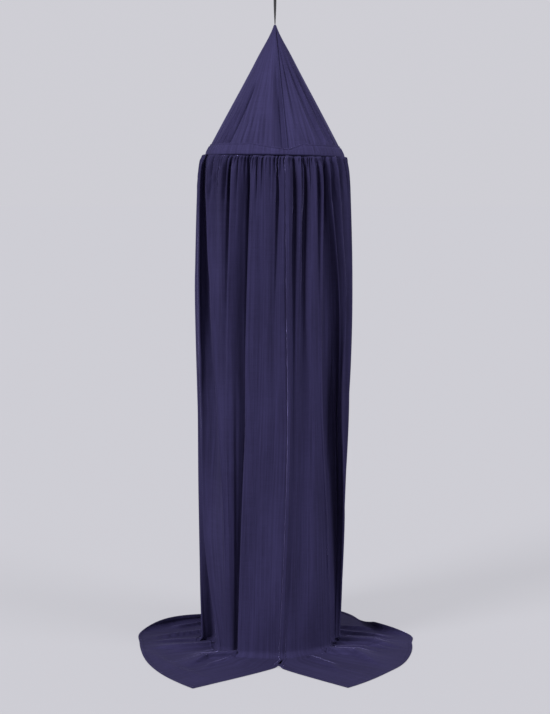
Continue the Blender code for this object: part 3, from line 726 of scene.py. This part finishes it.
HANGS_DOWN_TO = BEND + 0.015
HEM_CALM = 0.03  # floor folds die out over this much before the hem
HEM_EDGE = 0.02  # and the cloth rises onto the turned hem over this much
HEM_WIDTH = 0.012
HEM_LAYER = 0.0011
FLOOR_ROOM = 0.0004  # the sheet keeps this far above the floor
HEM_ROOM = HEM_LAYER + FLOOR_ROOM  # and this far where a turned hem lies under it


def all_folds():
    """Every fold in order along the cloth: name, turns and outs at the five levels, if in front."""
    folds = [(*fold, True) for fold in LEFT_FOLDS]
    for top, foot, high, middle, low in BACK_FOLDS:
        outs = (high, 0.5 * (high + middle), middle, 0.5 * (middle + low), low)
        folds.append(("back", np.linspace(top, foot, 5), outs, False))
    return folds + [(*fold, True) for fold in RIGHT_FOLDS]


def curve_through(places, values, at):
    """Smooth values at new places, from the values at the given places (rows of `values`)."""
    places = np.asarray(places, float)
    values = np.asarray(values, float)
    slopes = np.gradient(values, places, axis=0)
    k = np.clip(np.searchsorted(places, at, side="right") - 1, 0, len(places) - 2)
    gap = places[k + 1] - places[k]
    t = np.clip((at - places[k]) / gap, 0.0, 1.0)
    if values.ndim > 1:
        t = t[:, None]
        gap = gap[:, None]
    rise = values[k + 1] - values[k]
    value = values[k] + slopes[k] * gap * t * (1 - t) ** 2
    return value + rise * t * t * (3 - 2 * t) - slopes[k + 1] * gap * t * t * (1 - t)


def cloth_columns(folds):
    """Where each column of the skirt lies among the folds, closer together at the front."""
    places = []
    for k in range(len(folds) - 1):
        spans = []
        for level in (1, 3):
            radius = LEVELS[level][1]
            ends = []
            for fold in (folds[k], folds[k + 1]):
                ends.append(np.array(plan(fold[1][level], radius + fold[2][level] / 1000.0)))
            spans.append(np.linalg.norm(ends[1] - ends[0]))
        step = FRONT_COLUMN if folds[k][3] and folds[k + 1][3] else BACK_COLUMN
        count = max(3, round(max(spans) / step))
        places.extend(k + np.arange(count) / count)
    return np.array(places + [len(folds) - 1.0])


def at_level(height, table):
    """Values of every row of the table at a height, from those at the five levels."""
    heights = [level[0] for level in reversed(LEVELS)]
    return curve_through(heights, table[:, ::-1].T, np.array([height]))[0]


def all_gathers():
    """Turn, depth, length and drift of every gather."""
    pleats = [(turn, depth / 1000.0, length / 1000.0, 0.0) for turn, depth, length in FRONT_GATHERS]
    turns, depths, chance = uneven(5, FINE_GATHERS, FINE_GATHER_DEPTH, 0.2, 1.3)
    lengths = FINE_GATHER_LENGTH * chance.uniform(0.4, 1.8, FINE_GATHERS)
    pleats.extend(zip(turns, depths, lengths, chance.uniform(-8.0, 8.0, FINE_GATHERS)))
    turns, depths, chance = uneven(9, BACK_GATHERS, BACK_GATHER_DEPTH, 0.4, 1.3)
    lengths = BACK_GATHER_LENGTH * chance.uniform(0.4, 1.6, BACK_GATHERS)
    drifts = chance.uniform(-10.0, 10.0, BACK_GATHERS)
    pleats.extend(pleat for pleat in zip(turns, depths, lengths, drifts) if 92.0 < pleat[0] < 270.0)
    return pleats


def gathers(turns, drop):
    """How far the pleats under the casing pull the cloth in, which dies out below it."""
    total = np.zeros_like(turns)
    for place, depth, length, drift in GATHERS:
        if drop < 3.0 * length:
            half_width = GATHER_HALF_WIDTH * (1.0 + GATHER_WIDENS * drop)
            away = turn_gap(turns, place + drift * drop) / half_width
            total -= depth * math.exp(-((drop / length) ** 1.7)) * bell(away)
    return total * (0.2 + 0.8 * smooth_step(drop / GATHER_EASE))


def outward_of(points):
    """Unit vectors square to a section of the skirt, pointing out."""
    run = np.gradient(points, axis=0)
    run /= np.maximum(np.linalg.norm(run, axis=1), 1e-9)[:, None]
    return np.stack((-run[:, 1], run[:, 0]), axis=1)


def run_along(points):
    """How far each point lies along a curve from its first point."""
    return np.concatenate(([0.0], np.cumsum(np.linalg.norm(np.diff(points, axis=0), axis=1))))


def lines_and_ripples(points, places, height):
    """How far the sharp lines and the ripples move a section, square to the cloth."""
    along = run_along(points)
    total = np.zeros_like(along)
    sizes = at_level(height, np.array([line[1] for line in SHARP_LINES], float)) / 1000.0
    fade = smooth_step((SEAM_HEIGHT - height) / LINES_FROM)
    for (name, _, half_width), size in zip(SHARP_LINES, sizes):
        middle = np.interp(FOLD_NAMES.index(name), places, along)
        total += size * fade * bell((along - middle) * 1000.0 / half_width)
    for place, depth, middle_height, spread, half_width, drift in RIPPLE_TABLE:
        here = place * along[-1] + drift * (height - middle_height)
        strength = depth * bell((height - middle_height) / spread)
        total += fade * strength * bell((along - here) / half_width)
    return total


def ripple_table():
    """Place along the cloth, depth, height, spread, half width and drift of every ripple."""
    chance = np.random.RandomState(17)
    places = (np.arange(RIPPLES) + chance.uniform(0.1, 0.9, RIPPLES)) / RIPPLES
    depths = RIPPLE_DEPTH * chance.uniform(-1.0, 0.8, RIPPLES)
    heights = chance.uniform(0.2, 1.6, RIPPLES)
    spreads = chance.uniform(0.12, 0.55, RIPPLES)
    widths = chance.uniform(0.0032, 0.0080, RIPPLES)
    drifts = chance.uniform(-0.025, 0.025, RIPPLES)
    return list(zip(places, depths, heights, spreads, widths, drifts))


def hanging_row(height, places, tables):
    """The skirt's section at a height above the floor, on the floor plan."""
    drop = max(SEAM_HEIGHT - height, 0.0)
    turns = at_level(height, tables[0])
    outs = at_level(height, tables[1])
    radius, left = (at_level(height, np.array([[level[k] for level in LEVELS]]))[0] for k in (1, 2))
    first = SEAM_RADIUS + RUFFLE[0] * (1.0 - math.exp(-drop / RUFFLE[1]))
    swell = 1.0 - math.exp(-drop / PUFF)
    held = np.clip(outs, *GATHER_LIMIT)
    free = 1.0 - math.exp(-drop / FOLDS_FREE)
    reach = first + (radius - SEAM_RADIUS - RUFFLE[0]) * swell + held + (outs - held) * free
    x, y = plan(turns, reach + gathers(turns, drop))
    points = np.stack((x - left * smooth_step(drop / SHIFT_EASE), y), axis=1)
    moved = lines_and_ripples(points, places, height)
    return points + outward_of(points) * moved[:, None]


def floor_folds(place):
    """How far the folds that run out over the floor lift the cloth and lean it sideways."""
    lift = np.zeros(len(place))
    lean = np.zeros_like(place)
    for start, middle, end, *sizes, side in FLOOR_FOLDS:
        height, steep, gentle, over = np.array(sizes) / 1000.0
        nearest = np.full_like(lift, 1e9)
        share = np.zeros_like(lift)
        across = np.zeros_like(place)
        for part, line in enumerate(((start, middle), (middle, end))):
            a, b = np.array(line) / 1000.0
            run = b - a
            length = np.hypot(*run)
            aside = place - a
            t = np.clip((aside * run).sum(axis=1) / length ** 2, 0.0, 1.0)
            aside -= t[:, None] * run
            away = np.hypot(*aside.T)
            steep_way = side * np.array((run[1], -run[0])) / length
            width = np.where((aside * steep_way).sum(axis=1) > 0.0, steep, gentle)
            fade = smooth_step((1.0 - 0.5 * (part + t)) / 0.5)
            nearer = away < nearest
            share[nearer] = (fade * bell(away / width))[nearer]
            across[nearer] = steep_way
            nearest = np.minimum(nearest, away)
        higher = height * share > lift
        lift[higher] = height * share[higher]
        lean[higher] = over * share[higher, None] * across[higher]
    return lift, lean


def along_curve(points, distances):
    """Points at distances along a curve from its first point."""
    along = run_along(points)
    return np.stack([np.interp(distances, along, points[:, k]) for k in range(3)], axis=1)


def unit(vectors):
    return vectors / np.maximum(np.linalg.norm(vectors, axis=-1), 1e-9)[..., None]


def turned_hems(rows):
    """Turn the front edges in behind the cloth, and the foot in under it."""
    foot = rows[-1]
    above = rows[-2]
    under = unit(np.cross(np.gradient(foot, axis=0), foot - above))
    bottom = []
    for share in (0.2, 0.6, 1.0):
        back = share * HEM_WIDTH
        bottom.append(foot + unit(above - foot) * back + under * HEM_LAYER)
    finished = []
    ends = [row[[0, -1]] for row in rows + bottom]
    for r, row in enumerate(rows + bottom):
        dense = len(row) > len(foot)
        shares = np.arange(1, 7) / 6.0 if dense else np.arange(1, 4) / 3.0
        edges = []
        for side, inner in ((0, row), (-1, row[::-1])):
            hanging = ends[min(r + 1, len(ends) - 1)][side] - ends[max(r - 1, 0)][side]
            behind = np.cross(inner[4] - inner[0], hanging) * (1.0 if side == 0 else -1.0)
            edge = along_curve(inner[:40], shares * HEM_WIDTH) + unit(behind) * HEM_LAYER
            edges.append(edge)
        finished.append(np.concatenate((edges[0][::-1], row, edges[1])))
    return finished


def floor_rows(foot, turns, floor):
    """Rows from the foot on: the bend, what lies straight out in front, and the fan to the hem."""
    rows = []
    outward = foot + (LEVELS[-1][2], 0.0)
    outward /= np.hypot(*outward.T)[:, None]
    for angle in np.radians(np.linspace(0.0, 90.0, 10)):
        place = foot + outward * BEND * (1.0 - math.cos(angle))
        lift, lean = floor_folds(place)
        ease = math.sin(angle) ** 4
        height = BEND * (1.0 - math.sin(angle)) + lift * ease
        rows.append(np.column_stack((place + ease * lean, floor + height)))

    start = foot + outward * BEND
    in_front = bell(turn_gap(turns, 0.0) / APRON_HALF_WIDTH)[:, None]
    apron = (outward * APRON - (APRON_LEFT, 0.0)) * in_front
    for share in (0.25, 0.5, 0.75, 1.0):
        place = start + apron * share
        lift, lean = floor_folds(place)
        rows.append(np.column_stack((place + lean, floor + lift + HEM_ROOM)))

    start = start + apron
    hem = np.array(HEM)
    ends = turns + (HEM[0][0] - turns[0]) * np.exp(-(turns - turns[0]) / SPREAD_EASE)
    ends = ends + (HEM[-1][0] - turns[-1]) * np.exp(-(turns[-1] - turns) / SPREAD_EASE)
    hem_reach, hem_curl = curve_through(hem[:, 0], hem[:, 1:], ends).T
    curl_length = HEM_CURL_RADIUS * np.radians(np.maximum(hem_curl, 0.0))
    curl_from = HEM_CURL_FROM * curl_length
    hem_out = np.stack(plan(ends, 1.0), axis=1)
    end = hem_out * hem_reach[:, None] / 1000.0
    flat_end = end - hem_out * curl_from[:, None]
    parting = start + outward * SELVEDGE_ON_FLOOR
    early = parting + 0.3 * (end - parting)
    apex = 0.5 * (parting[0] + parting[-1])
    from_side = run_along(end)
    from_side = np.minimum(from_side, from_side[-1] - from_side)
    for t in np.linspace(0.0, 1.0, 36)[1:]:
        place = (1 - t) ** 3 * start + 3 * (1 - t) ** 2 * t * parting
        place = place + 3 * (1 - t) * t ** 2 * early + t ** 3 * end
        lift, lean = floor_folds(place)
        to_hem = np.linalg.norm(end - place, axis=1)
        rolled = np.clip(curl_from - to_hem, 0.0, curl_length) / HEM_CURL_RADIUS
        curled = flat_end + hem_out * (HEM_CURL_RADIUS * np.sin(rolled))[:, None]
        curls = to_hem < curl_from
        calm = smooth_step(to_hem / HEM_CALM)
        place = np.where(curls[:, None], curled, place + calm[:, None] * lean)
        lift = np.where(curls, HEM_CURL_RADIUS * (1.0 - np.cos(rolled)), lift * (0.3 + 0.7 * calm))
        from_apex = np.linalg.norm(place - apex, axis=1) / PARTING_LIFT[1]
        lift = lift + PARTING_LIFT[0] * bell(from_apex)
        near_edge = smooth_step(1.0 - np.minimum(to_hem, from_side * t) / HEM_EDGE)
        rows.append(np.column_stack((place, floor + lift + HEM_ROOM * near_edge)))
    return rows


def skirt_rows():
    folds = all_folds()
    coarse = cloth_columns(folds)
    dense = np.interp(np.arange(2 * len(coarse) - 1) / 2.0, np.arange(len(coarse)), coarse)
    knots = np.arange(len(folds))
    tables = {}
    for places in (coarse, dense):
        turns = curve_through(knots, [fold[1] for fold in folds], places)
        outs = curve_through(knots, [fold[2] for fold in folds], places) / 1000.0
        tables[len(places)] = (turns, outs)
    close_to = SEAM_HEIGHT - CLOSE_ROWS_DOWN_TO
    near_seam = SEAM_HEIGHT - CLOSE_ROWS_DOWN_TO * np.linspace(0.0, 1.0, 20) ** 1.5
    hanging = np.linspace(close_to, HANGS_DOWN_TO, 42)[1:]
    rows = []
    for height in np.concatenate((near_seam, hanging)):
        places = dense if height > hanging[0] + 0.001 else coarse
        section = hanging_row(height, places, tables[len(places)])
        lean = -HOOP_LEAN * section[:, 0] * math.exp((height - SEAM_HEIGHT) / LEAN_FADE)
        drop = SEAM_HEIGHT - height
        to_side = np.abs(section[:, 0]) / np.hypot(*section.T)
        rise = SHOULDER[0] * to_side ** 3 * bell((drop - SHOULDER[1]) / SHOULDER[2])
        rows.append(np.column_stack((section, height - HOOK_HEIGHT + lean + rise)))

    floor = FLOOR_ROOM - HOOK_HEIGHT
    foot = hanging_row(LEVELS[-1][0], coarse, tables[len(coarse)])
    rows = turned_hems(rows + floor_rows(foot, tables[len(coarse)][0][:, -1], floor))
    for row in rows:
        row[:, 2] = np.maximum(row[:, 2], floor)
    return rows


GATHERS = all_gathers()
RIPPLE_TABLE = ripple_table()
FOLD_NAMES = [fold[0] for fold in all_folds()]
skirt_flat = (2.55, 1.98)
skirt = cloth_object("skirt", skirt_rows(), False, skirt_flat)
skirt.data.materials.append(indigo_cotton)
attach(skirt, "root")
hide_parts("skirt")


# -------- floor and lights
# A plain pale studio sweep that glows enough for the canopy to throw next to no shadow on it. Two
# large soft lights, one at each side, draw out the edges of the folds. A weak one stands in front,
# and a soft light all round matches the sweep.

FLOOR_REACH = 400.0
BACKGROUND = (0.622, 0.618, 0.664)
SWEEP_GREY = (0.095, 0.094, 0.101)
SWEEP_GLOW = (0.458, 0.456, 0.489)
# The soft lights: turn from the front towards the right, height above level, spread and strength.
SOFT_LIGHTS = [
    # name          turn   height spread strength
    ("left_light",  -50.0,  34.0,  20.0,  3.68),
    ("right_light",  62.0,  34.0,  26.0,  2.18),
    ("front_fill",    0.0,  12.0,  50.0,  0.45),
]

floor_data = bpy.data.meshes.new("floor")
corners = [(x * FLOOR_REACH, y * FLOOR_REACH, 0.0) for x, y in ((-1, -1), (1, -1), (1, 1), (-1, 1))]
floor_data.from_pydata(corners, [], [(0, 1, 2, 3)])
floor_paint, _, shade = start_material("floor_paint")
shade(Base_Color=(*SWEEP_GREY, 1.0), Roughness=1.0, Specular_IOR_Level=0.0,
      Emission_Color=(*SWEEP_GLOW, 1.0), Emission_Strength=1.0)
floor_data.materials.append(floor_paint)
floor_object = put_in_scene("floor", floor_data, (0.0, 0.0, -HOOK_HEIGHT))

world = bpy.data.worlds.new("studio")
world.use_nodes = True
backdrop = world.node_tree.nodes["Background"]
backdrop.inputs["Color"].default_value = (*BACKGROUND, 1.0)
backdrop.inputs["Strength"].default_value = 1.0
bpy.context.scene.world = world

for name, turn, height, spread, strength in SOFT_LIGHTS:
    light_data = bpy.data.lights.new(name, "SUN")
    light_data.energy = strength
    light_data.angle = math.radians(spread)
    put_in_scene(name, light_data, tilt=90.0 - height, turn=turn)

bpy.context.scene.view_settings.view_transform = "Standard"
